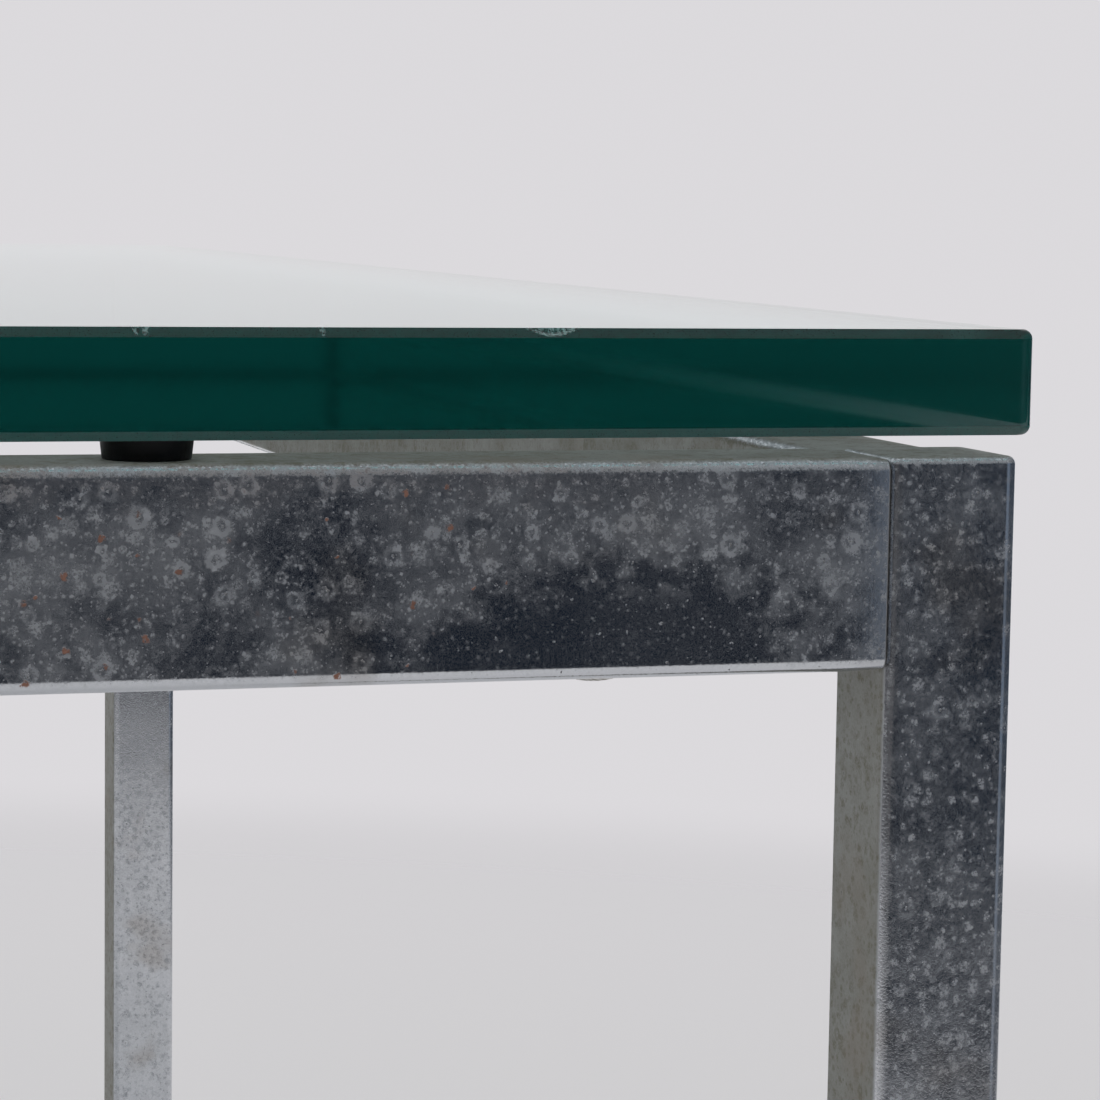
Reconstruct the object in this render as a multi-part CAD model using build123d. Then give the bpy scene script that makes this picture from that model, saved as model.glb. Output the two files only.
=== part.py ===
"""Low square table: a loose plate-glass top resting on a plated steel tube frame.

Millimetres, +Z up. The origin is on the floor, under the middle of the table. X runs along
the front and back rails, and the front of the table is at -Y. Four legs of square tube stand
at the corners. The front and back rails butt against the legs' inner faces and stand slightly
proud of them; the side rails are flush with the legs' outer faces and sit slightly lower, so
that the glass rests on the front and back rails only, on four rubber bumpers. Each rail end
slips over a steel tenon on its leg and is held there by one screw from below.
"""
import os

from build123d import *

# Whole table
FRAME_SIDE = 660.0          # over the outer faces of the frame, both ways
TOTAL_HEIGHT = 400.0        # floor to the top of the glass

# Tubes
WALL = 1.5                  # wall of every tube
TUBE_CORNER = 2.0           # outer corner radius of every tube
LEG_SIDE = 19.6             # square leg tube, nominally 20 mm, a little under after polishing
LEG_SETBACK = 1.0           # legs stand this far behind the front and back rails' faces
LEG_TOP_EDGE = 1.2          # rounding round the leg's top
RAIL_WIDTH = 20.0
RAIL_HEIGHT = 30.0
RAIL_END_EDGE = 0.5         # softened edge round each rail end
SIDE_RAIL_DROP = 1.0        # side rails sit this much lower than the front and back rails
CAP_THICKNESS = 3.0         # plate that closes the leg's top

# Joint between a rail and a leg
TENON_LENGTH = 55.0
TENON_PLAY = 0.2            # gap round the tenon inside the rail
TENON_EDGE = 1.0            # chamfer that leads the rail on
SCREW_SETBACK = 40.4        # from the leg's face to the screw's axis
SCREW_DIAMETER = 5.0
SCREW_LENGTH = 12.0         # under the head
SCREW_HEAD_DIAMETER = 10.0
SCREW_HEAD_RIM = 0.3        # height of the head's upright rim
SCREW_HEAD_DOME = 1.1       # height of the dome on the rim
THREAD_PLAY = 0.05          # radial gap of the screw in the tenon
SCREW_HOLE_PLAY = 0.25      # radial gap of the screw in the rail
RECESS_LENGTH = 4.4         # cross recess in the head
RECESS_WIDTH = 1.1
RECESS_DEPTH = 1.2

# Feet
FOOT_HEIGHT = 5.0           # below the tube
FOOT_EDGE = 1.5             # rounding round the underside
PLUG_HEIGHT = 16.0          # inside the tube
PLUG_PLAY = 0.7             # gap round the plug's core
RIB_PLAY = 0.05             # gap round the plug's ribs
RIB_HEIGHT = 1.4
RIB_COUNT = 3

# Glass and bumpers
GLASS_THICKNESS = 14.8
GLASS_GAP = 3.1             # glass above the front and back rails
GLASS_OVERHANG_X = 1.1      # beyond the frame at each side
GLASS_OVERHANG_Y = 1.5      # beyond the frame at the front and the back
GLASS_CORNER = 2.5          # corners seen from above
GLASS_ARRIS = 1.3           # ground bevel round the top and bottom faces
BUMPER_TOP_DIAMETER = 12.6
BUMPER_FOOT_DIAMETER = 11.9
BUMPER_EDGE = 0.3
BUMPER_SETBACK = 102.8      # from the leg's face to the bumper's axis

# Worked-out places
LEG_TOP = TOTAL_HEIGHT - GLASS_THICKNESS - GLASS_GAP
LEG_X = FRAME_SIDE / 2 - LEG_SIDE / 2
LEG_Y = FRAME_SIDE / 2 - LEG_SETBACK - LEG_SIDE / 2
RAIL_Y = FRAME_SIDE / 2 - RAIL_WIDTH / 2
RAIL_Z = LEG_TOP - RAIL_HEIGHT / 2
SIDE_RAIL_X = FRAME_SIDE / 2 - RAIL_WIDTH / 2
SIDE_RAIL_Z = RAIL_Z - SIDE_RAIL_DROP
RAIL_LENGTH = 2 * LEG_X - LEG_SIDE
SIDE_RAIL_LENGTH = 2 * LEG_Y - LEG_SIDE

SIDES_X = {"left": -1, "right": 1}
SIDES_Y = {"front": -1, "back": 1}


def tube_section(width, height):
    """Section of a rectangular tube."""
    outer = RectangleRounded(width, height, TUBE_CORNER)
    bore = RectangleRounded(width - 2 * WALL, height - 2 * WALL, TUBE_CORNER - WALL)
    return outer - bore


def leg_tube():
    """Square leg tube standing on its foot, with a rounded rim round its top."""
    tube = Pos(0, 0, FOOT_HEIGHT) * extrude(tube_section(LEG_SIDE, LEG_SIDE), LEG_TOP - FOOT_HEIGHT)
    rim = tube.faces().sort_by(Axis.Z)[-1].outer_wire().edges()
    return fillet(rim, LEG_TOP_EDGE)


def leg_cap():
    """Plate let into the top of the leg tube, flush with it."""
    side = LEG_SIDE - 2 * WALL
    plate = extrude(RectangleRounded(side, side, TUBE_CORNER - WALL), CAP_THICKNESS)
    return Pos(0, 0, LEG_TOP - CAP_THICKNESS) * plate


def foot():
    """Moulded glide: a square pad under the tube, and a ribbed plug inside it."""
    pad = extrude(RectangleRounded(LEG_SIDE, LEG_SIDE, TUBE_CORNER), FOOT_HEIGHT)
    underside = pad.faces().sort_by(Axis.Z)[0].outer_wire().edges()
    pad = fillet(underside, FOOT_EDGE)
    bore = LEG_SIDE - 2 * WALL
    core_side = bore - 2 * PLUG_PLAY
    rib_side = bore - 2 * RIB_PLAY
    plug = Pos(0, 0, FOOT_HEIGHT) * extrude(Rectangle(core_side, core_side), PLUG_HEIGHT)
    rib = extrude(RectangleRounded(rib_side, rib_side, TUBE_CORNER - WALL), RIB_HEIGHT)
    pitch = PLUG_HEIGHT / (RIB_COUNT + 1)
    for index in range(RIB_COUNT):
        plug += Pos(0, 0, FOOT_HEIGHT + pitch * (index + 1) - RIB_HEIGHT / 2) * rib
    return pad + plug


def rail(length):
    """Rail along X, centred on the origin, with softened ends and a screw hole near each."""
    body = extrude(Plane.YZ * tube_section(RAIL_WIDTH, RAIL_HEIGHT), length / 2, both=True)
    ends = body.faces().sort_by(Axis.X)
    rims = ends[0].outer_wire().edges() + ends[-1].outer_wire().edges()
    body = fillet(rims, RAIL_END_EDGE)
    hole = extrude(Circle(SCREW_DIAMETER / 2 + SCREW_HOLE_PLAY), WALL, both=True)
    for side in (-1, 1):
        body -= Pos(side * (length / 2 - SCREW_SETBACK), 0, WALL / 2 - RAIL_HEIGHT / 2) * hole
    return body


def tenon():
    """Steel block that starts at x = 0 and runs into the rail along +X."""
    width = RAIL_WIDTH - 2 * WALL - 2 * TENON_PLAY
    height = RAIL_HEIGHT - 2 * WALL - 2 * TENON_PLAY
    block = extrude(Plane.YZ * Rectangle(width, height), TENON_LENGTH)
    nose = block.faces().sort_by(Axis.X)[-1].edges()
    block = chamfer(nose, TENON_EDGE)
    hole = extrude(Circle(SCREW_DIAMETER / 2 + THREAD_PLAY), height / 2)
    return block - Pos(SCREW_SETBACK, 0, -height / 2) * hole


def screw():
    """Low domed screw pointing up, with the underside of its head at z = 0."""
    radius = SCREW_HEAD_DIAMETER / 2
    height = SCREW_HEAD_RIM + SCREW_HEAD_DOME
    ball = (radius**2 + SCREW_HEAD_DOME**2) / (2 * SCREW_HEAD_DOME)
    disc = Pos(0, 0, -height) * extrude(Circle(radius), height)
    head = disc & Pos(0, 0, ball - height) * Sphere(ball)
    for length, width in ((RECESS_LENGTH, RECESS_WIDTH), (RECESS_WIDTH, RECESS_LENGTH)):
        slot = extrude(Rectangle(length, width), RECESS_DEPTH)
        head -= Pos(0, 0, -height) * slot
    shank = extrude(Circle(SCREW_DIAMETER / 2), SCREW_LENGTH)
    return head + shank


def glass_top():
    """Plate of thick glass with ground bevels round both faces."""
    plate = extrude(
        RectangleRounded(
            FRAME_SIDE + 2 * GLASS_OVERHANG_X, FRAME_SIDE + 2 * GLASS_OVERHANG_Y, GLASS_CORNER
        ),
        GLASS_THICKNESS,
    )
    faces = plate.faces().sort_by(Axis.Z)
    rims = faces[0].outer_wire().edges() + faces[-1].outer_wire().edges()
    return Pos(0, 0, TOTAL_HEIGHT - GLASS_THICKNESS) * chamfer(rims, GLASS_ARRIS)


def bumper():
    """Rubber bumper, wide end up against the glass, standing on z = 0."""
    cone = Cone(
        BUMPER_FOOT_DIAMETER / 2,
        BUMPER_TOP_DIAMETER / 2,
        GLASS_GAP,
        align=(Align.CENTER, Align.CENTER, Align.MIN),
    )
    return fillet(cone.faces().sort_by(Axis.Z)[0].edges(), BUMPER_EDGE)


def build():
    """Every sub-part in its place, by node name."""
    nodes = {"glass_top": glass_top()}

    for name_y, sign_y in SIDES_Y.items():
        nodes[f"rail_{name_y}"] = Pos(0, sign_y * RAIL_Y, RAIL_Z) * rail(RAIL_LENGTH)
    for name_x, sign_x in SIDES_X.items():
        turned = Rot(0, 0, 90) * rail(SIDE_RAIL_LENGTH)
        nodes[f"rail_{name_x}"] = Pos(sign_x * SIDE_RAIL_X, 0, SIDE_RAIL_Z) * turned

    for name_y, sign_y in SIDES_Y.items():
        for name_x, sign_x in SIDES_X.items():
            corner = f"{name_y}_{name_x}"
            at_leg = Pos(sign_x * LEG_X, sign_y * LEG_Y, 0)
            nodes[f"leg_{corner}"] = at_leg * leg_tube()
            nodes[f"leg_cap_{corner}"] = at_leg * leg_cap()
            nodes[f"foot_{corner}"] = at_leg * foot()

            bumper_x = sign_x * (RAIL_LENGTH / 2 - BUMPER_SETBACK)
            nodes[f"bumper_{corner}"] = Pos(bumper_x, sign_y * RAIL_Y, LEG_TOP) * bumper()

            # The front or back rail's end at this leg, then the side rail's end.
            inward_x = Rot(0, 0, 90 + 90 * sign_x)
            end_x = Pos(sign_x * RAIL_LENGTH / 2, sign_y * RAIL_Y, RAIL_Z) * inward_x
            inward_y = Rot(0, 0, -90 * sign_y)
            end_y = Pos(sign_x * SIDE_RAIL_X, sign_y * SIDE_RAIL_LENGTH / 2, SIDE_RAIL_Z) * inward_y
            for end, place in ((corner, end_x), (f"{name_x}_{name_y}", end_y)):
                nodes[f"tenon_{end}"] = place * tenon()
                nodes[f"screw_{end}"] = place * Pos(SCREW_SETBACK, 0, -RAIL_HEIGHT / 2) * screw()

    return nodes


os.makedirs("parts", exist_ok=True)
for node_name, shape in build().items():
    export_step(shape, f"parts/{node_name}.step")
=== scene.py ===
"""Looks of the low table: old plated steel tube under a plate of thick green-edged glass.

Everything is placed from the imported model's own boxes, in metres, +Z up, front at -Y.
The textures are procedural and work in the piece's own coordinates, in millimetres.
"""
import math
import random
from types import SimpleNamespace

import bpy
from mathutils import Matrix, Vector


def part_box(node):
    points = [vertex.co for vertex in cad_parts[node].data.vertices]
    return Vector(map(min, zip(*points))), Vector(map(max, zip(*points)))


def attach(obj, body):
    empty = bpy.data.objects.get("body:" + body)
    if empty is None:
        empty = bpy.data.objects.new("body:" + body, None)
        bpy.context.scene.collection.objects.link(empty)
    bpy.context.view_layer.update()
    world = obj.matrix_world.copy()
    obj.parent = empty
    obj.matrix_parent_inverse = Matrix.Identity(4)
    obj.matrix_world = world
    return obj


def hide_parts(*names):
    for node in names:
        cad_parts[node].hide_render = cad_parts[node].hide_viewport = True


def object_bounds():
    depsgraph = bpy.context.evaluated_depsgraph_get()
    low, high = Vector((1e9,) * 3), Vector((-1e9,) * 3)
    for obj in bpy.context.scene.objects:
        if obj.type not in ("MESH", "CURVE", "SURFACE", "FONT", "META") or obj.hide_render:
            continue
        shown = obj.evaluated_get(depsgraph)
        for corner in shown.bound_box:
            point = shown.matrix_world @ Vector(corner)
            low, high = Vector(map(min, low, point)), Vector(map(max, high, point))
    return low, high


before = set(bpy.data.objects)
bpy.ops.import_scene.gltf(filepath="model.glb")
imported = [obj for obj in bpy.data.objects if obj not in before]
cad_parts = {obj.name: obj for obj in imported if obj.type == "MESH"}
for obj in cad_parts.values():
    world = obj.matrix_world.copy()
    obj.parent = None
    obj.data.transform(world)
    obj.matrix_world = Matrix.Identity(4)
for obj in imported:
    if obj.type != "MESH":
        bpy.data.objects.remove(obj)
cad_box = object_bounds()

MM = 0.001
SEED = 4                    # for how roughly the chips break
CORNERS = [f"{y}_{x}" for y in ("front", "back") for x in ("left", "right")]
RAILS = ["rail_front", "rail_back", "rail_left", "rail_right"]

# Camera, measured from the top front corner where the front rail meets the right leg
LENS = 110.84
CAMERA_OFFSET = Vector((-182.738, -434.328, 35.311)) * MM
YAW, PITCH, ROLL = (math.radians(angle) for angle in (17.03, 5.948, 0.849))
SENSOR = 36
CLIP = (0.01, 50)

# Tubes
WALL = 1.5 * MM
TUBE_CORNER = 2.0 * MM
LEG_TOP_EDGE = 1.2 * MM
RAIL_END_EDGE = 0.5 * MM
CROWN_LENGTH = 10.0 * MM    # where a rail was dressed down to meet the leg
CROWN_DEPTH = 0.30 * MM
CROWN_STEPS = 14
TUBE_STEPS = 12             # facets round each corner of a tube
EDGE_STEPS = 6              # facets round an end's edge
HOLE_RADIUS = 2.75 * MM     # screw hole in the underside
HOLE_HALF = 6.0 * MM        # half of the patch round a screw hole, along the rail
HOLE_STEPS = 32
SEAM_SHADE_TILT = math.radians(30)   # a rail's end gets painted shade, standing in for the seam's gap shadow, where its edge has turned this far in
TINY = 1e-6

# Glass
GLASS_ARRIS = 1.3 * MM
GLASS_CORNER = 2.5 * MM
GLASS_IOR = 1.52
GLASS_DENSITY = 10.0
GLASS_TINT = (0.01, 0.552, 0.525, 1)
CORNER_STEPS = 10           # facets round each corner of the plate
ARRIS_ROWS = 6              # rows of faces across an arris
FROST = (0.35, 0.90, 0.88, 1)

# Chips in the front top arris: distance from the right leg's inner face, length and depth in millimetres
CHIPS = (
    (50.0, 7.2, 0.50),
    (81.5, 0.7, 0.14),
    (105.0, 0.8, 0.18),
    (106.2, 0.6, 0.12),
)
CHIP_STEP = 0.2 * MM        # between the points along a chip
CHIP_REACH = 0.8            # share of the arris that a chip crosses

# Plating. Each layer of pale spots: cells to a millimetre, the radius of a spot's core and of its edge in
# cells, the share of cells with a spot, and the haze it adds
RAIL_FINISH = SimpleNamespace(
    spots=(
        (0.24, 0.20, 0.42, 0.70, 0.12),
        (0.31, 0.14, 0.40, 0.80, 0.14),
        (0.50, 0.16, 0.36, 0.80, 0.14),
        (0.85, 0.10, 0.36, 0.75, 0.13),
    ),
    ragged=1.3, ringed=0.55, clouds=0.15, small=0.20, specks=0.22,
)
LEG_FINISH = SimpleNamespace(
    spots=(
        (0.29, 0.14, 0.42, 0.85, 0.19),
        (0.41, 0.12, 0.42, 0.90, 0.22),
        (0.62, 0.08, 0.42, 0.85, 0.19),
        (1.05, 0.06, 0.40, 0.75, 0.08),
    ),
    ragged=0.7, ringed=0.15, clouds=0.0675, small=0.06, specks=0.08,
)
METAL = (0.68, 0.70, 0.73, 1)
BLUE_HAZE = (0.235, 0.262, 0.305, 1)
GREY_HAZE = (0.30, 0.318, 0.335, 1)
BROWN_HAZE = (0.150, 0.112, 0.105, 1)
# haze of the unrubbed faces; its olive tone is partly a painted reflection of the green glass over the tubes'
# tops
DULL_HAZE_AND_GLASS_REFLECTION = (0.158, 0.150, 0.102, 1)
STAIN = (0.30, 0.25, 0.20, 1)
RUST = (0.23, 0.062, 0.008, 1)
PIT = (0.022, 0.019, 0.016, 1)
MOST_HAZE = 0.95

# Surroundings: colour by the height of the direction, from -1 straight down to 1 straight up
PLAIN = (0.712, 0.698, 0.720, 1)
SOFT_LIGHT = (
    (-1.0, (0.60, 0.60, 0.61)), (0.0, (0.40, 0.40, 0.41)), (0.5, (0.78, 0.78, 0.79)), (1.0, (1.0, 1.0, 1.0)),
)
BELOW = ((-1.0, (0.84, 0.84, 0.83)), (-0.50, (0.82, 0.82, 0.81)))
FRONT_SKY = (
    *BELOW, (-0.36, (0.14, 0.14, 0.145)), (-0.27, (0.02, 0.024, 0.032)), (-0.10, (0.009, 0.013, 0.021)),
    (0.08, (0.011, 0.017, 0.029)), (0.30, (0.045, 0.050, 0.058)), (0.60, (0.12, 0.125, 0.13)),
    (0.85, (0.22, 0.225, 0.23)), (1.0, (0.36, 0.36, 0.36)),
)
RIGHT_SKY = (
    *BELOW, (-0.34, (0.25, 0.26, 0.28)), (-0.15, (0.14, 0.175, 0.23)), (0.10, (0.14, 0.18, 0.24)),
    (0.35, (0.25, 0.27, 0.30)), (0.70, (0.45, 0.46, 0.47)), (1.0, (0.36, 0.36, 0.36)),
)
LEFT_SKY = (
    *BELOW, (-0.34, (0.20, 0.20, 0.20)), (-0.15, (0.05, 0.05, 0.055)), (0.15, (0.05, 0.05, 0.055)),
    (0.60, (0.25, 0.25, 0.26)), (1.0, (0.40, 0.40, 0.40)),
)
BACK_SKY = (*BELOW, (0.0, (0.76, 0.755, 0.77)), (0.4, (0.66, 0.66, 0.67)), (1.0, (0.40, 0.40, 0.40)))

# Floor
FLOOR_RADIUS = 2.2
FLOOR_COLOUR = (0.78, 0.77, 0.78, 1)
FLOOR_FADE = (0.95, 1.7)    # distances between which it fades into the background


# ---------------------------------------------------------------- node helpers

def add(tree, kind, settings=None, **inputs):
    """New node. Inputs are named with _ for a space, and are numbers, colours or sockets."""
    node = tree.nodes.new(kind)
    for name, value in (settings or {}).items():
        setattr(node, name, value)
    for name, value in inputs.items():
        plug(tree, node.inputs[name.replace("_", " ")], value)
    return node


def plug(tree, socket, value):
    """Links a socket to an output, or sets its own value."""
    if isinstance(value, bpy.types.NodeSocket):
        tree.links.new(value, socket)
    else:
        socket.default_value = value


def calc(tree, operation, *values):
    """Math node's result."""
    node = tree.nodes.new("ShaderNodeMath")
    node.operation = operation
    for socket, value in zip(node.inputs, values):
        plug(tree, socket, value)
    return node.outputs[0]


def times(tree, *values):
    """Product."""
    result = values[0]
    for value in values[1:]:
        result = calc(tree, "MULTIPLY", result, value)
    return result


def plus(tree, *values):
    """Sum."""
    result = values[0]
    for value in values[1:]:
        result = calc(tree, "ADD", result, value)
    return result


def most(tree, *values):
    """The greatest."""
    result = values[0]
    for value in values[1:]:
        result = calc(tree, "MAXIMUM", result, value)
    return result


def less(tree, mask, share=1.0):
    """What a mask leaves: 1 where it is 0, and 1 - share where it is 1."""
    return calc(tree, "SUBTRACT", 1.0, times(tree, mask, share))


def ramp(tree, value, low, high, out_low=0.0, out_high=1.0):
    """Smooth step of value from low to high."""
    node = add(tree, "ShaderNodeMapRange", {"interpolation_type": "SMOOTHSTEP"}, Value=value)
    for name, number in (("From Min", low), ("From Max", high), ("To Min", out_low), ("To Max", out_high)):
        plug(tree, node.inputs[name], number)
    return node.outputs["Result"]


def mix(tree, factor, a, b):
    """Mix of two colours."""
    node = tree.nodes.new("ShaderNodeMix")
    node.data_type = "RGBA"
    plug(tree, node.inputs["Factor"], factor)
    plug(tree, node.inputs["A"], a)
    plug(tree, node.inputs["B"], b)
    return node.outputs["Result"]


def noise(tree, coords, scale, detail=2.0, roughness=0.5, distortion=0.0):
    """Noise from 0 to 1. Scale is features per millimetre."""
    node = add(
        tree, "ShaderNodeTexNoise", Vector=coords, Scale=scale, Detail=detail,
        Roughness=roughness, Distortion=distortion,
    )
    return node.outputs["Fac"]


def cells(tree, coords, scale, feature="F1", dimensions="3D"):
    """Voronoi node. Scale is cells per millimetre."""
    settings = {"feature": feature, "voronoi_dimensions": dimensions}
    return add(tree, "ShaderNodeTexVoronoi", settings, Vector=coords, Scale=scale)


def coordinates(tree, kind="Object"):
    """Texture coordinates of one kind."""
    return add(tree, "ShaderNodeTexCoord").outputs[kind]


def millimetres(tree, stretch=(1, 1, 1), turn=(0, 0, 0)):
    """Object coordinates in millimetres, stretched and turned."""
    node = add(tree, "ShaderNodeMapping", Vector=coordinates(tree), Rotation=turn)
    node.inputs["Scale"].default_value = [s / MM for s in stretch]
    return node.outputs["Vector"]


def new_material(name):
    """Material with an empty tree, its Principled shader and its output."""
    material = bpy.data.materials.new(name)
    material.use_nodes = True
    tree = material.node_tree
    tree.nodes.clear()
    shader = add(tree, "ShaderNodeBsdfPrincipled")
    output = add(tree, "ShaderNodeOutputMaterial", Surface=shader.outputs["BSDF"])
    return material, tree, shader, output


def bump(tree, height, distance, strength=1.0, normal=None):
    """Bump of a height field, distance in millimetres."""
    node = add(tree, "ShaderNodeBump", Height=height, Distance=distance * MM, Strength=strength)
    if normal is not None:
        plug(tree, node.inputs["Normal"], normal)
    return node.outputs["Normal"]


# ---------------------------------------------------------------- materials

def vector(tree, operation, *values):
    """Vector math node's result."""
    node = add(tree, "ShaderNodeVectorMath", {"operation": operation})
    for socket, value in zip(node.inputs, values):
        plug(tree, socket, value)
    return node.outputs["Vector"]


def choose(tree, second, a, b):
    """The number a, or b where second is 1."""
    node = add(tree, "ShaderNodeMix", {"data_type": "FLOAT"}, Factor=second)
    plug(tree, node.inputs["A"], a)
    plug(tree, node.inputs["B"], b)
    return node.outputs["Result"]


def surface(tree):
    """Where a point is on a tube, which way it faces, and masks made from that."""
    at = SimpleNamespace()
    at.place = add(tree, "ShaderNodeSeparateXYZ", Vector=coordinates(tree)).outputs
    at.facing = add(tree, "ShaderNodeSeparateXYZ", Vector=coordinates(tree, "Normal")).outputs
    at.coords = millimetres(tree)
    at.dull = unpolished(tree, at)
    at.under = ramp(tree, at.facing["Z"], -0.15, -0.6)
    at.shoulder = times(tree, ramp(tree, at.facing["Z"], 0.10, 0.35), ramp(tree, at.facing["Z"], 0.97, 0.80))
    # metres from the table's middle along a rail; about the same all over a leg
    at.along = calc(
        tree, "MINIMUM", calc(tree, "ABSOLUTE", at.place["X"]), calc(tree, "ABSOLUTE", at.place["Y"]),
    )
    return at


def unpolished(tree, at):
    """1 on the faces that nobody rubs: those that look up, and those that look across under the table. On
    those that look up, their olive colour is partly a painted reflection of the green glass above.
    """
    inward = times(tree, calc(tree, "SIGN", at.place["X"]), at.facing["X"])
    return most(tree, ramp(tree, at.facing["Z"], 0.70, 0.97), ramp(tree, inward, -0.80, -0.97))


def face_map(tree, at, ragged):
    """Flat coordinates in millimetres over the face that a point is on, shaken by ragged millimetres."""
    across = calc(tree, "GREATER_THAN", calc(tree, "ABSOLUTE", at.facing["X"]), 0.7)
    level = calc(tree, "GREATER_THAN", calc(tree, "ABSOLUTE", at.facing["Z"]), 0.7)
    sideways = choose(tree, across, at.place["X"], at.place["Y"])
    upwards = choose(tree, level, at.place["Z"], at.place["Y"])
    flat = add(tree, "ShaderNodeCombineXYZ", X=sideways, Y=upwards).outputs["Vector"]
    wobble = add(tree, "ShaderNodeTexNoise", Vector=at.coords, Scale=1.1, Detail=3.0).outputs["Color"]
    shake = vector(tree, "MULTIPLY", wobble, [ragged] * 3)
    return vector(tree, "MULTIPLY_ADD", flat, [1 / MM] * 3, shake)


def seeded_cells(tree, coords, per_mm, smallest, share):
    """Distance from a flat cell's middle in sizes of its mark, whether it has one, and its own number."""
    node = cells(tree, coords, per_mm, dimensions="2D")
    pick = add(tree, "ShaderNodeSeparateColor", Color=node.outputs["Color"]).outputs
    size = ramp(tree, pick["Green"], 0.0, 1.0, smallest, 1.0)
    distance = calc(tree, "DIVIDE", node.outputs["Distance"], size)
    return distance, calc(tree, "LESS_THAN", pick["Red"], share), pick["Blue"]


def spots(tree, coords, per_mm, inner, outer, share):
    """Soft spots, one to a cell at most: 1 in the middle, 0 outside. Share is how many cells have one."""
    distance, shown, number = seeded_cells(tree, coords, per_mm, 0.45, share)
    strength = ramp(tree, number, 0.0, 1.0, 0.35, 1.0)
    return times(tree, ramp(tree, distance, inner, outer, 1.0, 0.0), times(tree, shown, strength))


def rings(tree, coords, per_mm, radius, share):
    """Pale rings round dark pits: returns ring and pit."""
    distance, shown, _ = seeded_cells(tree, coords, per_mm, 0.5, share)
    off = calc(tree, "ABSOLUTE", calc(tree, "SUBTRACT", distance, radius))
    ring = ramp(tree, off, 0.0, radius * 0.75, 1.0, 0.0)
    pit = ramp(tree, distance, radius * 0.10, radius * 0.28, 1.0, 0.0)
    return times(tree, ring, shown), times(tree, pit, shown)


def scratches(tree, turn, per_mm, width, share):
    """Fine straight scratches."""
    coords = millimetres(tree, (per_mm * 0.03, per_mm, per_mm), turn)
    edge = cells(tree, coords, 1.0, "DISTANCE_TO_EDGE").outputs["Distance"]
    where = noise(tree, coords, 0.6, 2.0)
    shown = ramp(tree, where, 1 - share - 0.04, 1 - share + 0.04)
    return times(tree, ramp(tree, edge, 0.0, width, 1.0, 0.0), shown)


def height_on_face(tree, at, middle, half, patches, ragged):
    """Height on a rail's face: 0 at the middle given, 1 a half height above it, made uneven by ragged."""
    height = calc(tree, "DIVIDE", calc(tree, "SUBTRACT", at.place["Z"], middle), half)
    return plus(tree, height, times(tree, calc(tree, "SUBTRACT", patches, 0.5), ragged))


def wiped(tree, at, middle, half, patches):
    """1 on the clean patch low on a rail's face, over the screw near each of its ends."""
    side = ramp(tree, at.along, 0.222, 0.318, -1.0, 1.0)
    height = height_on_face(tree, at, middle - 0.75 * half, half, patches, 0.0)
    lean = plus(tree, height, times(tree, side, -0.15))
    reach = calc(tree, "SQRT", plus(tree, times(tree, side, side), times(tree, lean, lean)))
    reach = plus(tree, reach, times(tree, calc(tree, "SUBTRACT", patches, 0.5), 0.35))
    return ramp(tree, reach, 1.0, 0.55)


def browned(tree, at, middle, half, patches):
    """1 on the brown band just under a rail's upper edge, away from its ends."""
    height = height_on_face(tree, at, middle, half, patches, 0.30)
    band = times(tree, ramp(tree, height, 0.62, 0.78), ramp(tree, height, 1.05, 0.92))
    return times(tree, band, ramp(tree, at.along, 0.285, 0.262))


def layers(tree, at, finish):
    """The plating's separate textures, from 0 to 1."""
    coords = at.coords
    flat = face_map(tree, at, finish.ragged)
    steady = face_map(tree, at, 0.35)
    made = SimpleNamespace(flat=flat)
    made.clouds = ramp(tree, noise(tree, coords, 0.040, 4.0, 0.6, 0.4), 0.35, 0.65)
    made.patches = ramp(tree, noise(tree, coords, 0.20, 4.0, 0.65), 0.35, 0.65)
    made.grain = ramp(tree, noise(tree, coords, 2.6, 2.0, 0.7), 0.35, 0.65)
    made.crowd = ramp(tree, noise(tree, coords, 0.06, 3.0, 0.6), 0.32, 0.60, 0.45, 1.0)
    made.small = spots(tree, steady, 0.75, 0.04, 0.36, 0.60)
    made.specks = spots(tree, steady, 1.5, 0.06, 0.26, 0.30)
    made.scores = scratches(tree, (0.3, 0.2, 0.5), 0.30, 0.010, 0.30)
    made.ring, made.pit = rings(tree, flat, 0.21, 0.24, finish.ringed)
    made.pit = times(tree, made.pit, ramp(tree, made.grain, 0.25, 0.60, 1.0, 0.25))
    made.spared = 0.0
    made.shade = 0.0
    return made


def hazed(tree, at, made, finish):
    """How much of the bright plating is hidden, from 0 to MOST_HAZE."""
    crowd = times(tree, made.crowd, less(tree, made.spared, 0.9))
    blots = 0.0
    for per_mm, inner, outer, share, weight in finish.spots:
        blots = plus(tree, times(tree, spots(tree, made.flat, per_mm, inner, outer, share), weight), blots)
    mottle = times(tree, crowd, ramp(tree, made.grain, 0.0, 1.0, 0.45, 1.25))
    haze = plus(tree, times(tree, made.clouds, finish.clouds), times(tree, made.patches, 0.07))
    haze = times(tree, haze, less(tree, most(tree, made.spared, made.shade), 0.85))
    veil = plus(tree, haze, times(tree, made.shade, 0.10), times(tree, blots, mottle))
    for layer, weight in (
        (made.grain, 0.06),
        (made.small, finish.small),
        (times(tree, made.ring, crowd), 0.16),
        (made.specks, finish.specks),
        (made.scores, 0.08),
        (at.dull, 0.60),
        (times(tree, at.shoulder, made.grain), 0.42),
    ):
        veil = plus(tree, times(tree, layer, weight), veil)
    veil = times(tree, veil, less(tree, at.under, 0.85))
    return calc(tree, "MINIMUM", veil, MOST_HAZE)


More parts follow.
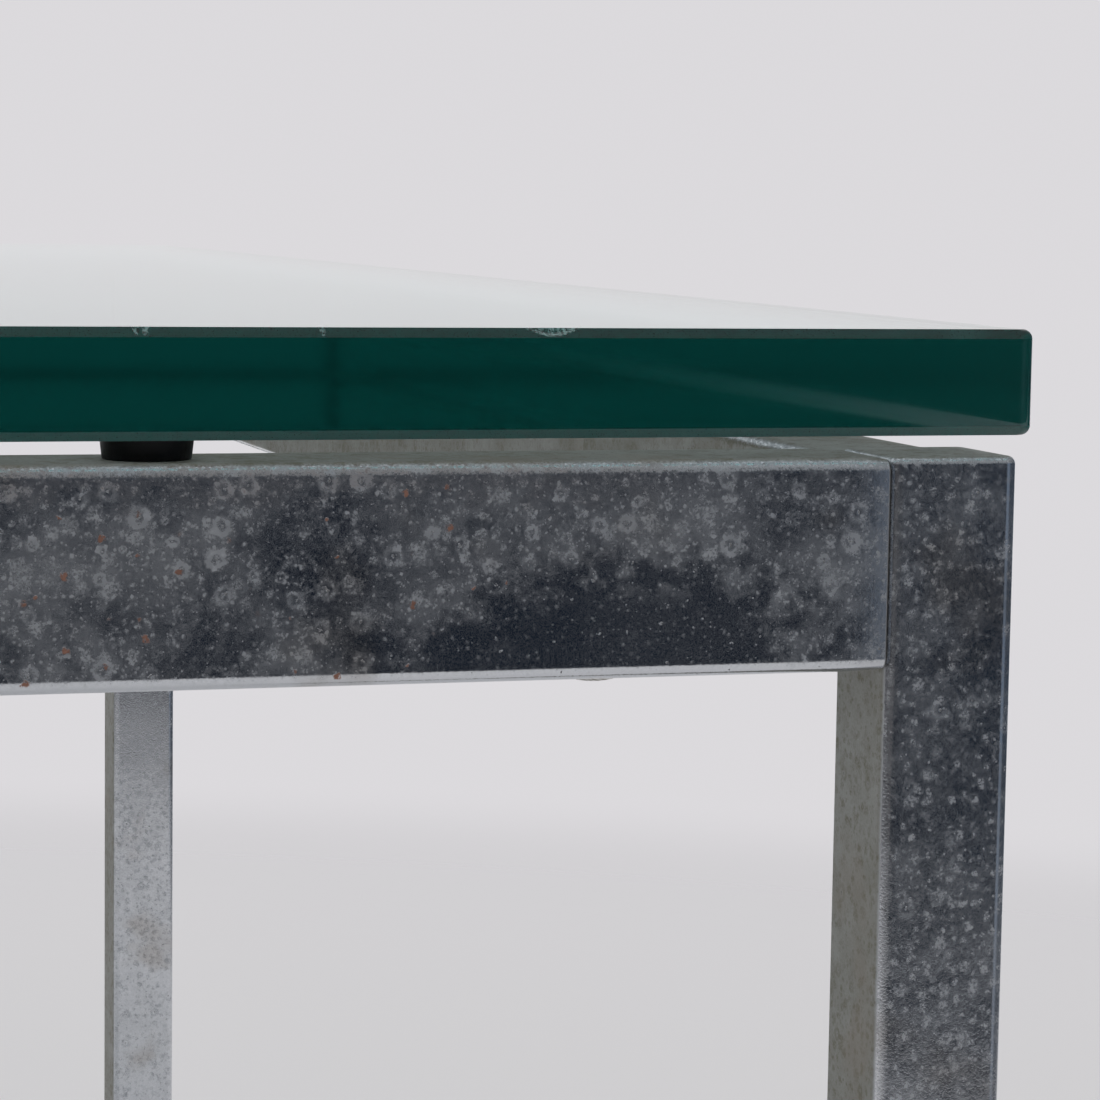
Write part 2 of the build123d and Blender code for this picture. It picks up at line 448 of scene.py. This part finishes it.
def rusted(tree, at, made):
    """Rust dots, on the rails' upright faces away from their ends."""
    where = times(
        tree, ramp(tree, at.along, 0.285, 0.235),
        ramp(tree, noise(tree, at.coords, 0.05, 2.0), 0.30, 0.50, 0.35),
        less(tree, most(tree, made.spared, at.dull, at.shoulder, at.under)),
    )
    rust = times(tree, spots(tree, made.flat, 0.20, 0.02, 0.17, 0.48), where)
    return times(tree, rust, ramp(tree, made.grain, 0.05, 0.45, 0.35, 1.0))


def plated_steel(name, finish, face=None):
    """Old nickel-chrome plating: a dark mirror under haze, pale spots, ringed pits and rust dots.

    Face is the middle and half height of a rail's upright faces, which also have a clean patch and a
    brown band.
    """
    material, tree, shader, _ = new_material(name)
    at = surface(tree)
    made = layers(tree, at, finish)
    if face:
        made.spared = wiped(tree, at, *face, made.patches)
        made.shade = browned(tree, at, *face, made.patches)
    veil = hazed(tree, at, made, finish)
    rust = rusted(tree, at, made)
    # painted shade in the seams where the rails' ends meet the legs: the end rounding is darkened and dulled
    grime = add(tree, "ShaderNodeAttribute", {"attribute_name": "grime"}).outputs["Fac"]
    stain = times(tree, ramp(tree, noise(tree, at.coords, 0.045, 3.0), 0.56, 0.70), 0.35)
    glints = ramp(tree, noise(tree, at.coords, 4.0, 1.0), 0.60, 0.70)

    pale = mix(tree, made.clouds, BLUE_HAZE, GREY_HAZE)
    pale = mix(tree, made.shade, pale, BROWN_HAZE)
    # unrubbed haze, whose olive tone on the tops is partly a painted reflection of the glass above
    pale = mix(tree, at.dull, pale, DULL_HAZE_AND_GLASS_REFLECTION)
    colour = mix(tree, veil, METAL, pale)
    colour = mix(tree, stain, colour, STAIN)
    colour = mix(tree, ramp(tree, rust, 0.04, 0.50, 0.0, 0.85), colour, RUST)
    hollow = times(tree, made.pit, calc(tree, "SUBTRACT", 0.85, glints))
    plug(tree, shader.inputs["Base Color"], mix(tree, most(tree, hollow, 0.0, grime), colour, PIT))

    matt = most(tree, veil, rust, made.pit, grime)
    plug(tree, shader.inputs["Metallic"], less(tree, matt, 0.95))
    plug(tree, shader.inputs["Roughness"], ramp(tree, matt, 0.0, 0.8, 0.10, 0.66))

    waves = bump(tree, noise(tree, at.coords, 0.035, 1.0), 0.25, 0.5)
    relief = calc(tree, "SUBTRACT", times(tree, veil, 0.15), most(tree, made.pit, rust))
    relief = plus(tree, relief, times(tree, made.grain, 0.10))
    plug(tree, shader.inputs["Normal"], bump(tree, relief, 0.05, 0.8, waves))
    return material


def glass():
    """Clear float glass with a green body, its ground arrises and chips frosted."""
    material, tree, shader, output = new_material("green_float_glass")
    shader.inputs["Transmission Weight"].default_value = 1.0
    shader.inputs["IOR"].default_value = GLASS_IOR
    coords = millimetres(tree)
    frost, chip, polish = (
        add(tree, "ShaderNodeAttribute", {"attribute_name": name}).outputs["Fac"]
        for name in ("frost", "chip", "polish")
    )
    grind = noise(tree, coords, 6.0, 2.0)
    ground = times(tree, frost, ramp(tree, grind, 0.2, 0.8, 0.26, 0.38))
    plug(tree, shader.inputs["Roughness"], most(tree, ground, times(tree, polish, 0.10)))
    flake = ramp(tree, noise(tree, coords, 3.0, 3.0), 0.42, 0.6)
    plug(tree, shader.inputs["Metallic"], times(tree, chip, times(tree, flake, 0.55)))
    plug(tree, shader.inputs["Base Color"], mix(tree, frost, (1, 1, 1, 1), FROST))
    height = times(tree, noise(tree, coords, 9.0, 1.0), frost)
    plug(tree, shader.inputs["Normal"], bump(tree, height, 0.02, 0.5))
    body = add(tree, "ShaderNodeVolumeAbsorption", Color=GLASS_TINT, Density=GLASS_DENSITY)
    plug(tree, output.inputs["Volume"], body.outputs["Volume"])
    return material


def rubber():
    """Black moulded rubber, slightly dusty."""
    material, tree, shader, _ = new_material("black_rubber")
    coords = millimetres(tree)
    shader.inputs["Specular IOR Level"].default_value = 0.3
    dust = ramp(tree, noise(tree, coords, 1.2, 4.0), 0.45, 0.8)
    colour = mix(tree, dust, (0.002, 0.002, 0.0025, 1), (0.007, 0.007, 0.007, 1))
    plug(tree, shader.inputs["Base Color"], colour)
    plug(tree, shader.inputs["Roughness"], ramp(tree, dust, 0, 1, 0.5, 0.75))
    plug(tree, shader.inputs["Normal"], bump(tree, noise(tree, coords, 4.0, 3.0), 0.03, 0.6))
    return material


def plastic():
    """Black moulded plastic feet, scuffed."""
    material, tree, shader, _ = new_material("black_plastic_feet")
    coords = millimetres(tree)
    scuff = ramp(tree, noise(tree, coords, 0.5, 5.0, 0.65), 0.5, 0.72)
    colour = mix(tree, scuff, (0.012, 0.012, 0.013, 1), (0.06, 0.058, 0.055, 1))
    plug(tree, shader.inputs["Base Color"], colour)
    plug(tree, shader.inputs["Roughness"], ramp(tree, scuff, 0, 1, 0.42, 0.7))
    plug(tree, shader.inputs["Normal"], bump(tree, noise(tree, coords, 3.0, 2.0), 0.02, 0.5))
    return material


def screw_metal():
    """Zinc-plated screws, dulled and a little rusty."""
    material, tree, shader, _ = new_material("dull_zinc_screws")
    coords = millimetres(tree)
    dull = ramp(tree, noise(tree, coords, 1.5, 4.0), 0.35, 0.7)
    colour = mix(tree, dull, (0.52, 0.52, 0.5, 1), (0.20, 0.17, 0.13, 1))
    plug(tree, shader.inputs["Base Color"], colour)
    plug(tree, shader.inputs["Metallic"], ramp(tree, dull, 0, 1, 1.0, 0.5))
    plug(tree, shader.inputs["Roughness"], ramp(tree, dull, 0, 1, 0.28, 0.6))
    plug(tree, shader.inputs["Normal"], bump(tree, noise(tree, coords, 5.0, 2.0), 0.02, 0.5))
    return material


def bare_steel():
    """Bare steel of the tenons, sawn and oiled."""
    material, tree, shader, _ = new_material("bare_steel_tenons")
    lines = millimetres(tree, (0.2, 3.0, 3.0))
    coords = millimetres(tree)
    stain = ramp(tree, noise(tree, coords, 0.3, 4.0), 0.4, 0.7)
    colour = mix(tree, stain, (0.30, 0.29, 0.28, 1), (0.14, 0.10, 0.07, 1))
    plug(tree, shader.inputs["Base Color"], colour)
    plug(tree, shader.inputs["Metallic"], ramp(tree, stain, 0, 1, 1.0, 0.6))
    plug(tree, shader.inputs["Roughness"], ramp(tree, stain, 0, 1, 0.4, 0.65))
    plug(tree, shader.inputs["Normal"], bump(tree, noise(tree, lines, 1.0, 2.0), 0.04, 0.5))
    return material


def dress(material, *names):
    """Gives CAD nodes a material."""
    for name in names:
        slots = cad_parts[name].data.materials
        slots.clear()
        slots.append(material)


# ---------------------------------------------------------------- meshes

class Shell:
    """Points, faces and the faces' corner normals of one closed mesh."""

    def __init__(self):
        self.points, self.faces, self.normals, self.marks = [], [], [], []

    def ring(self, points):
        """Adds points and returns their numbers."""
        start = len(self.points)
        self.points += [Vector(p) for p in points]
        return list(range(start, len(self.points)))

    def face(self, corners, normals, **marks):
        """Adds a face with a normal for each corner, turned so that it looks the way they point."""
        flat = newell([self.points[c] for c in corners])
        if normals is None:
            normals = [flat.normalized()] * len(corners)
        if flat.dot(sum(normals, Vector())) < 0:
            corners, normals = corners[::-1], normals[::-1]
        self.faces.append(tuple(corners))
        self.normals.append([n.normalized() for n in normals])
        self.marks.append(marks)

    def strip(self, ring_a, ring_b, normals_a, normals_b, skip=(), **marks):
        """Quads between two closed rings."""
        count = len(ring_a)
        for i in range(count):
            if i in skip:
                continue
            j = (i + 1) % count
            self.face(
                [ring_a[i], ring_a[j], ring_b[j], ring_b[i]],
                [normals_a[i], normals_a[j], normals_b[j], normals_b[i]],
                **marks,
            )

    def piece(self, name, material, body, slot, *nodes):
        """The finished object, riding on a body in place of its CAD nodes."""
        mesh = bpy.data.meshes.new(name)
        mesh.from_pydata(self.points, [], self.faces)
        mesh.shade_smooth()
        mesh.normals_split_custom_set([n for face in self.normals for n in face])
        for mark in sorted({m for marks in self.marks for m in marks}):
            layer = mesh.attributes.new(mark, "FLOAT", "CORNER")
            values = [marks.get(mark, 0.0) for marks, face in zip(self.marks, self.faces) for _ in face]
            layer.data.foreach_set("value", values)
        mesh.materials.append(material)
        made = bpy.data.objects.new(name, mesh)
        bpy.context.scene.collection.objects.link(made)
        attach(made, body)
        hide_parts(*nodes)


def newell(points):
    """Area-weighted normal of a polygon."""
    total = Vector()
    for a, b in zip(points, points[1:] + points[:1]):
        total += a.cross(b)
    return total


def section(half_u, half_v, radius):
    """Points round a rounded rectangle, each with its outward direction, in two dimensions."""
    points = []
    for sign_u, sign_v, start in ((1, -1, -90), (1, 1, 0), (-1, 1, 90), (-1, -1, 180)):
        centre = Vector((sign_u * (half_u - radius), sign_v * (half_v - radius)))
        for step in range(TUBE_STEPS + 1):
            angle = math.radians(start + 90 * step / TUBE_STEPS)
            out = Vector((math.cos(angle), math.sin(angle)))
            points.append((centre + radius * out, out))
    return points


def end_stations(edge, crown):
    """Distances from a tube's end, with the surface's inset there and its tilt towards the end."""
    stations = []
    for step in range(EDGE_STEPS + 1):
        turn = math.radians(90 * (1 - step / EDGE_STEPS))
        stations.append((edge * (1 - math.sin(turn)), edge * (1 - math.cos(turn)), turn))
    if not crown:
        return stations
    stations += [(edge + CROWN_LENGTH * (step + 1) / CROWN_STEPS, 0.0, 0.0) for step in range(CROWN_STEPS)]
    crowned = []
    for away, inset, turn in stations:
        left = max(0.0, 1 - away / (CROWN_LENGTH + edge))
        slope = 3 * CROWN_DEPTH / (CROWN_LENGTH + edge) * left ** 2
        crowned.append((away, inset + CROWN_DEPTH * left ** 3, min(math.pi / 2, turn + slope)))
    return crowned


def tube(name, material, node, axis, start, end, holes=()):
    """Hollow rounded tube in a node's box. Start and end are its ends' stations, holes are along its axis."""
    low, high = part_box(node)
    middle = (low + high) / 2
    half = (high - low) / 2
    along = Vector([float(i == axis) for i in range(3)])
    axis_u, axis_v = [i for i in range(3) if i != axis]

    def lift(flat, distance):
        place = middle.copy()
        place[axis_u] += flat.x
        place[axis_v] += flat.y
        place[axis] = distance
        return place

    def spread(flat):
        out = Vector((0, 0, 0))
        out[axis_u], out[axis_v] = flat.x, flat.y
        return out

    outer = section(half[axis_u], half[axis_v], TUBE_CORNER)
    inner = section(half[axis_u] - WALL, half[axis_v] - WALL, TUBE_CORNER - WALL)
    stations = [(low[axis] + away, inset, -turn) for away, inset, turn in start]
    marks = [(place + side * HOLE_HALF, 0.0, 0.0) for place in holes for side in (-1, 1)]
    stations += sorted(marks)
    stations += [(high[axis] - away, inset, turn) for away, inset, turn in reversed(end)]

    shell = Shell()
    rings, normals = [], []
    for distance, inset, turn in stations:
        rings.append(shell.ring([lift(p - inset * out, distance) for p, out in outer]))
        normals.append([spread(out) * math.cos(turn) + along * math.sin(turn) for _, out in outer])
    inner_places = [low[axis]] + [distance for distance, _, _ in sorted(marks)] + [high[axis]]
    bores = [shell.ring([lift(p, distance) for p, _ in inner]) for distance in inner_places]
    inward = [-spread(out) for _, out in inner]

    under = len(outer) - 1      # the flat that joins the last corner to the first, at the bottom
    patches = []
    for index in range(len(rings) - 1):
        here, there = rings[index], rings[index + 1]
        inside = any(abs((stations[index][0] + stations[index + 1][0]) / 2 - place) < TINY for place in holes)
        skip = (under,) if inside else ()
        tilt = abs(stations[index][2] + stations[index + 1][2]) / 2
        # painted shade: the rail's end rounding next to the leg is darkened in place of the seam's gap shadow
        grime = min(1.0, tilt / SEAM_SHADE_TILT) if holes else 0.0
        shell.strip(here, there, normals[index], normals[index + 1], skip, grime=grime)
        if inside:
            patches.append([here[under], there[under], there[0], here[0]])
    bore_patches = []
    for index in range(len(bores) - 1):
        here, there = bores[index], bores[index + 1]
        inside = index % 2 == 1 and bool(holes)
        shell.strip(here, there, inward, inward, (under,) if inside else ())
        if inside:
            bore_patches.append([here[under], there[under], there[0], here[0]])
    shell.strip(rings[0], bores[0], [-along] * len(outer), [-along] * len(outer))
    shell.strip(rings[-1], bores[-1], [along] * len(outer), [along] * len(outer))
    for place, patch, bore_patch in zip(sorted(holes), patches, bore_patches):
        punch(shell, place, axis, middle, patch, bore_patch)
    shell.piece(name, material, "frame", "plated_steel", node)


def punch(shell, place, axis, middle, patch, bore_patch):
    """A round hole through the underside, inside two rectangular patches."""
    circles = []
    for corners, down in ((patch, Vector((0, 0, -1))), (bore_patch, Vector((0, 0, 1)))):
        height = shell.points[corners[0]].z
        points = []
        for step in range(HOLE_STEPS):
            angle = 2 * math.pi * (step + 0.5) / HOLE_STEPS
            point = middle.copy()
            point.z = height
            point[axis] = place + HOLE_RADIUS * math.cos(angle)
            point[1 - axis] += HOLE_RADIUS * math.sin(angle)
            points.append(point)
        circle = shell.ring(points)
        centre = middle.copy()
        centre.z, centre[axis] = height, place
        for a, b in zip(corners, corners[1:] + corners[:1]):
            starts = [nearest(shell, circle, centre, shell.points[c]) for c in (b, a)]
            step = 1 if (starts[1] - starts[0]) % HOLE_STEPS <= HOLE_STEPS // 2 else -1
            arc = [starts[0]]
            while arc[-1] != starts[1]:
                arc.append((arc[-1] + step) % HOLE_STEPS)
            shell.face([a, b] + [circle[i] for i in arc], [down] * (2 + len(arc)))
        circles.append(circle)
    out = [(shell.points[c] - middle) for c in circles[0]]
    inward = []
    for vector in out:
        vector[axis] = vector[axis] + middle[axis] - place
        vector.z = 0
        inward.append(-vector.normalized())
    shell.strip(circles[0], circles[1], inward, inward)


def nearest(shell, circle, centre, corner):
    """Number of the circle's point that lies towards a corner of the patch."""
    way = (corner - centre).normalized()
    return max(range(len(circle)), key=lambda i: (shell.points[circle[i]] - centre).dot(way))


def steel_tubes(rail_material, leg_material):
    """Rails and legs."""
    for node in RAILS:
        axis = 0 if node in ("rail_front", "rail_back") else 1
        low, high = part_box(node)
        screws = [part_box(name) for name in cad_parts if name.startswith("screw_")]
        middle = (low + high) / 2
        holes = [
            (a[axis] + b[axis]) / 2 for a, b in screws
            if abs((a[1 - axis] + b[1 - axis]) / 2 - middle[1 - axis]) < MM
            and abs(a[axis] - middle[axis]) < (high - low)[axis] / 2 - 2 * HOLE_HALF
        ]
        ends = end_stations(RAIL_END_EDGE, True)
        tube(node + "_tube", rail_material, node, axis, ends, ends, sorted(holes))
    for corner in CORNERS:
        foot = [(0.0, 0.0, 0.0)]
        top = end_stations(LEG_TOP_EDGE, False)
        tube(f"leg_{corner}_tube", leg_material, f"leg_{corner}", 2, foot, top)


# ---------------------------------------------------------------- glass plate

def plate_outline(low, high, stops):
    """Points round the plate: place, outward direction, and how rounded the arris is there."""
    points = []
    corners = ((1, -1, -90), (1, 1, 0), (-1, 1, 90), (-1, -1, 180))
    for sign_x, sign_y, start in corners:
        cx = (high.x if sign_x > 0 else low.x) - sign_x * GLASS_CORNER
        cy = (high.y if sign_y > 0 else low.y) - sign_y * GLASS_CORNER
        for step in range(CORNER_STEPS + 1):
            share = step / CORNER_STEPS
            angle = math.radians(start + 90 * share)
            out = Vector((math.cos(angle), math.sin(angle), 0))
            place = Vector((cx, cy, 0)) + GLASS_CORNER * out
            points.append((place, out, math.sin(math.pi * share) ** 0.5))
    points += [(Vector((x, low.y, 0)), Vector((0, -1, 0)), 0.0) for x in stops]
    return points


def arris_profile(round_off):
    """Rows across an arris from the edge's face to the plate's face: inset, drop and tilt."""
    rows = []
    for step in range(ARRIS_ROWS + 1):
        share = step / ARRIS_ROWS
        turn = math.pi / 2 * share
        flat = Vector((share, 1 - share, math.pi / 4))
        curved = Vector((1 - math.cos(turn), 1 - math.sin(turn), turn))
        inset, drop, tilt = flat.lerp(curved, round_off)
        rows.append((GLASS_ARRIS * inset, GLASS_ARRIS * drop, tilt))
    return rows


def chip_depth(x, down, chips):
    """How far a point on the front top arris is broken away. Down runs from 0 at the plate's face to 1."""
    depth = 0.0
    for centre, length, deep in chips:
        across = abs(x - centre) / (length / 2)
        if across < 1:
            reach = CHIP_REACH * (1 - across ** 1.6)
            depth = max(depth, deep * max(0.0, reach - down))
    return depth


def glass_plate(material):
    """The plate: rounded corners, ground arrises, and chips broken from the front one."""
    low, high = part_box("glass_top")
    leg_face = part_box("rail_front")[1].x
    chips = [(leg_face - away * MM, length * MM, deep * MM) for away, length, deep in CHIPS]
    stops = set()
    for centre, length, _ in chips:
        count = int(length / CHIP_STEP / 2) + 2
        stops |= {round(centre + CHIP_STEP * step, 6) for step in range(-count, count + 1)}
    outline = plate_outline(low, high, sorted(stops))
    rng = random.Random(SEED)
    shell = Shell()

    def belt(face_z, sign, broken_rows):
        """Rings and normals of one arris, from the edge's face to the plate's face."""
        rings, normals = [], []
        for row in range(ARRIS_ROWS + 1):
            points, tilts = [], []
            for index, (point, out, round_off) in enumerate(outline):
                inset, drop, tilt = arris_profile(round_off)[row]
                place = point - out * inset
                place.z = face_z - sign * drop
                if broken_rows and out.y < -0.999:
                    broken = chip_depth(place.x, 1 - row / ARRIS_ROWS, chips) * rng.uniform(0.7, 1.2)
                    place += Vector((0, broken, -broken if row < ARRIS_ROWS else 0))
                    if broken > 0:
                        chipped.add(len(shell.points) + len(points))
                points.append(place)
                tilts.append(out * math.cos(tilt) + Vector((0, 0, sign)) * math.sin(tilt))
            rings.append(shell.ring(points))
            normals.append(tilts)
        return rings, normals

    chipped = set()
    sides = [out for _, out, _ in outline]
    top_rings, top_normals = belt(high.z, 1, True)
    low_rings, low_normals = belt(low.z, -1, False)
    shell.strip(low_rings[0], top_rings[0], sides, sides)
    for face_marks in shell.marks:
        face_marks["polish"] = 1.0
    for rings, normals in ((top_rings, top_normals), (low_rings, low_normals)):
        for row in range(ARRIS_ROWS):
            for i in range(len(outline)):
                j = (i + 1) % len(outline)
                corners = [rings[row][i], rings[row][j], rings[row + 1][j], rings[row + 1][i]]
                bent = [normals[row][i], normals[row][j], normals[row + 1][j], normals[row + 1][i]]
                if chipped.intersection(corners):
                    shell.face(corners, None, frost=0.6, chip=1.0)
                    if shell.normals[-1][0].z < 0:
                        shell.faces[-1] = shell.faces[-1][::-1]
                        shell.normals[-1] = [-n for n in shell.normals[-1]]
                else:
                    shell.face(corners, bent, frost=1.0)
    shell.face(top_rings[-1], [Vector((0, 0, 1))] * len(outline))
    shell.face(low_rings[-1], [Vector((0, 0, -1))] * len(outline))
    shell.piece("glass_plate", material, "glass", "glass", "glass_top")


# ---------------------------------------------------------------- studio

def studio_world():
    """Plain pale surroundings, but reflections see a studio that is dark in front and at the sides."""
    world = bpy.data.worlds.new("studio")
    bpy.context.scene.world = world
    world.use_nodes = True
    tree = world.node_tree
    tree.nodes.clear()
    way = add(tree, "ShaderNodeSeparateXYZ", Vector=coordinates(tree, "Generated")).outputs
    up = way["Z"]
    level = calc(tree, "SQRT", most(tree, less(tree, times(tree, up, up)), 1e-4))
    behind = calc(tree, "DIVIDE", way["Y"], level)
    side = calc(tree, "DIVIDE", way["X"], level)

    front = sky(tree, up, FRONT_SKY)
    right = sky(tree, up, RIGHT_SKY)
    left = sky(tree, up, LEFT_SKY)
    back = sky(tree, up, BACK_SKY)
    glow = times(tree, ramp(tree, side, 0.42, 0.58), ramp(tree, side, 0.92, 0.72, 0.25, 1.0))
    seen = mix(tree, glow, front, right)
    seen = mix(tree, ramp(tree, side, -0.10, -0.45), seen, left)
    seen = mix(tree, ramp(tree, behind, 0.62, 0.80), seen, back)

    path = add(tree, "ShaderNodeLightPath")
    soft = sky(tree, up, SOFT_LIGHT)
    colour = mix(tree, path.outputs["Is Diffuse Ray"], seen, soft)
    plain = most(tree, path.outputs["Is Camera Ray"], path.outputs["Is Transmission Ray"])
    colour = mix(tree, plain, colour, PLAIN)
    background = add(tree, "ShaderNodeBackground", Color=colour, Strength=1.0)
    add(tree, "ShaderNodeOutputWorld", Surface=background.outputs["Background"])


def sky(tree, up, stops):
    """Colour by height above the horizon, from a list of heights and colours."""
    node = add(tree, "ShaderNodeValToRGB", Fac=plus(tree, times(tree, up, 0.5), 0.5))
    band = node.color_ramp
    while len(band.elements) < len(stops):
        band.elements.new(0.5)
    for element, (height, colour) in zip(band.elements, stops):
        element.position = (height + 1) / 2
        element.color = (*colour, 1)
    return node.outputs["Color"]


def floor():
    """Pale studio floor that fades into the background."""
    ground = (0, 0, cad_box[0].z)
    bpy.ops.mesh.primitive_circle_add(vertices=96, radius=FLOOR_RADIUS, fill_type="NGON", location=ground)
    disc = bpy.context.object
    disc.name = "studio_floor"
    material, tree, shader, _ = new_material("studio_floor")
    shader.inputs["Base Color"].default_value = FLOOR_COLOUR
    shader.inputs["Roughness"].default_value = 0.9
    shader.inputs["Specular IOR Level"].default_value = 0.0
    away = add(tree, "ShaderNodeVectorMath", {"operation": "LENGTH"})
    plug(tree, away.inputs[0], coordinates(tree))
    plug(tree, shader.inputs["Alpha"], ramp(tree, away.outputs["Value"], *FLOOR_FADE, 1.0, 0.0))
    disc.data.materials.append(material)


def camera():
    """Camera at the photograph's angle."""
    rail_low, rail_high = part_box("rail_front")
    corner = Vector((rail_high.x, rail_low.y, rail_high.z))
    forward = Vector((math.sin(YAW), math.cos(YAW), 0)) * math.cos(PITCH)
    forward.z = -math.sin(PITCH)
    level = Vector((math.cos(YAW), -math.sin(YAW), 0))
    upward = level.cross(forward)
    right = level * math.cos(ROLL) + upward * math.sin(ROLL)
    above = upward * math.cos(ROLL) - level * math.sin(ROLL)
    data = bpy.data.cameras.new("camera")
    data.lens = LENS
    data.sensor_width = SENSOR
    data.clip_start, data.clip_end = CLIP
    eye = bpy.data.objects.new("camera", data)
    bpy.context.scene.collection.objects.link(eye)
    turn = Matrix((right, above, -forward)).transposed().to_4x4()
    eye.matrix_world = Matrix.Translation(corner + CAMERA_OFFSET) @ turn
    bpy.context.scene.camera = eye


scene = bpy.context.scene
scene.view_settings.view_transform = "Standard"
scene.cycles.max_bounces = 24
scene.cycles.glossy_bounces = 16
scene.cycles.transmission_bounces = 24

rail_low, rail_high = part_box("rail_front")
rail_face = ((rail_low.z + rail_high.z) / 2, (rail_high.z - rail_low.z) / 2)
rail_plating = plated_steel("old_plating_rails", RAIL_FINISH, rail_face)
leg_plating = plated_steel("old_plating_legs", LEG_FINISH)
steel_tubes(rail_plating, leg_plating)
dress(leg_plating, *[f"leg_cap_{c}" for c in CORNERS])
dress(rubber(), *[f"bumper_{c}" for c in CORNERS])
dress(plastic(), *[f"foot_{c}" for c in CORNERS])
dress(screw_metal(), *[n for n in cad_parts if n.startswith("screw_")])
dress(bare_steel(), *[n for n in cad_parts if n.startswith("tenon_")])
glass_plate(glass())

studio_world()
floor()
camera()
